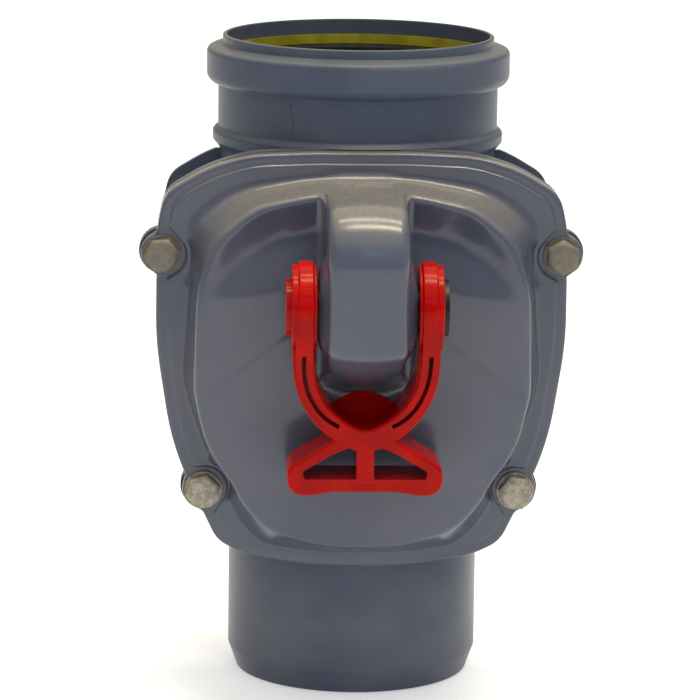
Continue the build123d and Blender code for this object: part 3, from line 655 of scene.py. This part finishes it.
def makePod(strip):
    # band, walls and fillets as columns along the middle line; where the nose stands low over the shell, each
    # column turns into a soft swell: the shell plus the middle line's height, less and less of it sideways
    path = podPath()
    places, sinks = podBand()
    columns = [columnAt(place, path - sideways(path) * sink) for place, sink in zip(places, sinks)]
    outside = np.linspace(0, pod["foot"], podColumns["wall"] + podColumns["fillet"] + 1)[1:]
    swellPlaces = np.concatenate([places, places[-1] + outside])
    lines = shellLines(strip, swellPlaces)
    beside = lines[len(places) - 1]
    spot = podFeet(path, lines[0], beside)
    away = alongLine(sideways(beside), spot)
    away /= np.linalg.norm(away, axis=1, keepdims=True)
    columns += podSide(columns[-1], alongLine(beside, spot), alongLine(lines[-1], spot), away)
    over = path - alongLine(lines[0], spot)
    firm = rampBetween((over * away).sum(axis=1), *pod["swell"])
    firm[crownStart:podEnds["chin"]] = 1
    fall = 1 - rampBetween(swellPlaces, pod["swellFlat"], swellPlaces[-1])
    for number, (place, line, share) in enumerate(zip(swellPlaces, lines, fall)):
        lift = over * share - away * pod["buried"][0] * (1 - share)
        swell = columnAt(place, alongLine(line, spot) + lift)
        columns[number] = swell + (columns[number] - swell) * firm[:, None]
    rightSide = np.array(columns)
    points = np.concatenate([rightSide[:0:-1] * [-1, 1, 1], rightSide])
    return thickened(addSurface("coverPod", points, coverFinish), pod["wall"])


ears = dict(  # mm; hinge is (depth, height), pin the radius of the hole
    inner=28.0, thickness=3.5, depth=14.0, hinge=(-74.0, 206.0), rise=18.5, pin=3.05, chamfer=0.3)


def makeHingeEars():
    # two plates under the cover's roof that carry the hinge pin: the outline round the pin in depth and
    # height is a half circle below and a box above, chamfered, and flat faces join it to the pin's hole
    turn = np.linspace(0, 2 * np.pi, 48, endpoint=False)
    unit = np.stack([np.cos(turn), np.sin(turn)], axis=-1)
    hole = ears["pin"] * unit
    boxed = np.maximum(np.abs(unit[:, :1]) / (ears["depth"] / 2), np.abs(unit[:, 1:]) / ears["rise"])
    rim = np.where(unit[:, 1:] > 0, unit / boxed, ears["depth"] / 2 * unit)
    small = rim - ears["chamfer"] * rim / np.linalg.norm(rim, axis=1, keepdims=True)
    near, far = ears["inner"], ears["inner"] + ears["thickness"]
    rings = [(hole, near), (small, near), (rim, near + ears["chamfer"]), (rim, far - ears["chamfer"]),
             (small, far), (hole, far), (hole, near)]
    grids = []
    for side in (-1, 1):
        grid = np.array([columnAt(x, ring + ears["hinge"]) for ring, x in rings])
        grids.append(grid[:, ::side] * [side, 1, 1])
    return addCopies("hingeEars", grids, coverFinish)


coverShell, shellStrip = makeCoverShell()
coverPod = makePod(shellStrip)
hingeEars = makeHingeEars()
for piece in (coverShell, coverPod, hingeEars):
    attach(piece, "housing")
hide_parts("inspection_cover")
print("cover:", len(coverShell.data.polygons), "and", len(coverPod.data.polygons), "faces")


# Flow arrow

arrow = dict(  # mm and degrees; the outline is (distance round the barrel, z)
    radius=60.9, turn=-120.3, middle=250.5, lift=0.22,
    outline=[(-0.7, 258), (0.7, 258), (0.7, 251.6), (2.1, 251.6), (0, 244.6), (-2.1, 251.6), (-0.7, 251.6)])


def makeArrow():
    # plain raised arrow on the socket: rings shrunk from the outline towards a point inside it, laid round
    # the barrel as angle = distance / radius, and closed below its surface
    corner = np.array(arrow["outline"], float)
    steps = np.linspace(0, 1, 6, endpoint=False)[None, :, None]
    outline = (corner[:, None] + (np.roll(corner, -1, axis=0) - corner)[:, None] * steps).reshape(-1, 2)
    rings = []
    for share, lift in ((0, 1), (0.5, 1), (0.84, 1), (1, 0.5), (1.05, -1), (0, -1)):
        place = (0, arrow["middle"]) + (outline - (0, arrow["middle"])) * share
        turn = math.radians(arrow["turn"]) + place[:, 0] / arrow["radius"]
        radius = arrow["radius"] + arrow["lift"] * lift
        rings.append(np.stack([radius * np.cos(turn), radius * np.sin(turn), place[:, 1]], axis=-1))
    return addSurface("flowArrow", np.array(rings), finishes["grey_pvc"], wrap=True)


flowArrow = makeArrow()
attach(flowArrow, "housing")
print("flow arrow:", len(flowArrow.data.polygons), "faces")


# Bolts

bolt = dict(  # mm and degrees; turns are radians
    underHead=-70.6, end=-40.6, shank=4.0, acrossFlats=13.0, head=5.3, crown=0.25, crownEdge=0.12,
    faceRadius=5.7, chamfer=30, underChamfer=0.2, pitch=1.25, threadDepth=0.6, threadFade=10.0, point=0.8,
    innermost=0.02, around=96, turns=(0.12, 0.5, 0.3, 0.9))


def boltGrid(x, z, turned):
    # rings along a bolt: the domed face, the cone of the chamfer cut by the six flats, the flats, the
    # underside, and the shank, whose radius is a triangle wave of depth plus turn, which gives a thread
    turn = np.linspace(0, 2 * np.pi, bolt["around"], endpoint=False)
    even = np.ones(len(turn))
    hexagon = bolt["acrossFlats"] / 2 / np.cos((turn % (np.pi / 3)) - np.pi / 6)
    under, face = bolt["underHead"], bolt["faceRadius"]
    front = under - bolt["head"]
    slope = math.tan(math.radians(bolt["chamfer"]))
    rings = [(even * radius, even * (front - bolt["crown"] * (1 - (radius / face) ** 2)))
             for radius in np.linspace(bolt["innermost"], face - 0.5, 5)]
    for share in (0, 0.35, 0.7, 1.0):
        beyond = (hexagon - face) * share
        rings.append((face + beyond, front + bolt["crownEdge"] + beyond * slope))
    rings.append((hexagon, even * (under - bolt["underChamfer"])))
    rings.append((hexagon - bolt["underChamfer"], even * under))
    rings.append((even * bolt["shank"], even * under))
    for depth in np.arange(under + 1, bolt["end"] - bolt["point"], bolt["pitch"] / 6):
        phase = (depth / bolt["pitch"] + turn / 2 / np.pi) % 1
        fade = min(1, (depth - under) / bolt["threadFade"])
        rings.append((bolt["shank"] - bolt["threadDepth"] * fade * np.abs(2 * phase - 1), even * depth))
    rings.append((even * (bolt["shank"] - bolt["point"]), even * bolt["end"]))
    rings.append((even * bolt["innermost"], even * bolt["end"]))
    radius, depth = np.moveaxis(np.array(rings), 1, 0)
    return np.stack([x + radius * np.cos(turn + turned), depth, z + radius * np.sin(turn + turned)], axis=-1)


boltSpots = [(mirror * x, z) for x, z in cover["bolts"] for mirror in (-1, 1)]
bolts = addCopies("hexBolts", [boltGrid(x, z, turned) for (x, z), turned in zip(boltSpots, bolt["turns"])],
                  finishes["zinc_steel"])
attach(bolts, "housing")
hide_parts("cover_bolts")
print("bolts:", len(bolts.data.polygons), "faces")


# Stage, lamps and camera

stage = dict(  # half size in metres, height in mm
    floor=(220, 227, 240), roughness=0.8, gloss=0.1, size=9.0, height=-0.4, glow=0.36)


def makeFloor():  # pale floor that keeps the shadow; rays from the camera, mirrors and glass see it whiter
    floorTint = tint(*stage["floor"])
    finish = Finish("paleFloor", Specular_IOR_Level=stage["gloss"], Roughness=stage["roughness"],
                    Base_Color=floorTint)
    bright = finish.add("ShaderNodeBsdfPrincipled", {}, {
        "Base Color": floorTint, "Roughness": stage["roughness"], "Specular IOR Level": stage["gloss"],
        "Emission Color": (1, 1, 1, 1), "Emission Strength": stage["glow"]}, "BSDF")
    output = finish.tree.nodes["Material Output"]
    shown = finish.add("ShaderNodeMixShader", {}, {0: finish.seenRays(), 2: bright})
    finish.tree.links.new(finish.shader.outputs["BSDF"], shown.socket.node.inputs[1])
    finish.tree.links.new(shown.socket, output.inputs["Surface"])
    reach, height = stage["size"] / mm, stage["height"]
    corners = np.array([[(x, y, height) for x in (-reach, reach)] for y in (-reach, reach)])
    floor = addSurface("floor", corners, finish.material)


room = dict(  # colour and level of each side
    front=(120, 134, 162, 0.8), back=(255, 246, 226, 0.6), left=(255, 244, 226, 0.4),
    right=(222, 230, 245, 0.4), ceiling=(255, 240, 212, 1.5))


def makeWorld():  # a soft room: dim in front, pale at the sides and back, a warm ceiling above
    world = bpy.data.worlds.new("studio")
    world.use_nodes = True
    bpy.context.scene.world = world
    wiring = Wiring(world.node_tree)
    toward = wiring.add("ShaderNodeTexCoord", {}, {}, "Generated")
    behind = wiring.between(wiring.along(toward, (0, 1, 0)), -0.75, 0.2)
    colour = wiring.mixed(behind, tint(*room["front"]), tint(*room["back"]))
    for side, axis, low, high in (("left", (-1, 0, 0), 0.35, 0.85), ("right", (1, 0, 0), 0.35, 0.85),
                                  ("ceiling", (0, 0, 1), 0.45, 0.8)):
        share = wiring.between(wiring.along(toward, axis), low, high)
        colour = wiring.mixed(share, colour, tint(*room[side]))
    wiring.tree.links.new(colour.socket, wiring.tree.nodes["Background"].inputs["Color"])


lamps = dict(  # place and target in metres, size, brightness where 1 is white, colour
    stripNear=((0.3, -0.46, 2.2), (0.3, -0.46, 0), (1.3, 0.2), 30, (255, 244, 214)),
    stripFar=((0.3, 0.12, 2.2), (0.3, 0.12, 0), (1.6, 0.1), 34, (255, 244, 214)),
    window=((0.4, -3.1, 1.7), (0, -0.1, 0.2), (0.7, 0.5), 2.4, (124, 188, 255)),
    lowFront=((0, -0.46, 0.03), (0, -0.07, 0.14), (0.6, 0.12), 0.9, (232, 238, 255)),
    frontFill=((0, -0.9, 0.42), (0, -0.07, 0.12), (0.9, 0.25), 0.9, (244, 244, 255)))
unmirrored = ("lowFront", "frontFill")  # these show in no reflection


def makeLamps():  # energy = brightness * pi * area, so brightness doesn't change with the size
    for name, (place, target, size, brightness, colour) in lamps.items():
        data = bpy.data.lights.new(name, "AREA")
        data.shape = "RECTANGLE"
        data.size, data.size_y = size
        data.energy = brightness * math.pi * size[0] * size[1]
        data.color = tint(*colour)[:3]
        lamp = bpy.data.objects.new(name, data)
        lamp.location = place
        lamp.rotation_euler = (Vector(target) - Vector(place)).to_track_quat("-Z", "Y").to_euler()
        lamp.visible_glossy = name not in unmirrored
        bpy.context.scene.collection.objects.link(lamp)


camera = dict(  # metres and radians, worked out from the photograph's outlines
    place=(-0.0697, -1.6931, 0.4842), pitch=0.199348, roll=0.0131433, yaw=0.0399723, lens=201.217)


def makeCamera():  # looks along +Y, turned by yaw, tipped down by pitch, then rolled about its own axis
    data = bpy.data.cameras.new("camera")
    data.lens = camera["lens"]
    data.sensor_width = 36.0
    data.clip_start, data.clip_end = 0.05, 50
    holder = bpy.data.objects.new("camera", data)
    turn = Matrix.Rotation(-camera["yaw"], 4, "Z") @ Matrix.Rotation(math.pi / 2 - camera["pitch"], 4, "X")
    holder.matrix_world = Matrix.Translation(camera["place"]) @ turn @ Matrix.Rotation(camera["roll"], 4, "Z")
    bpy.context.scene.collection.objects.link(holder)
    bpy.context.scene.camera = holder


makeFloor()
makeWorld()
makeLamps()
makeCamera()
bpy.context.scene.view_settings.view_transform = "Standard"
print("stage, lamps and camera placed")
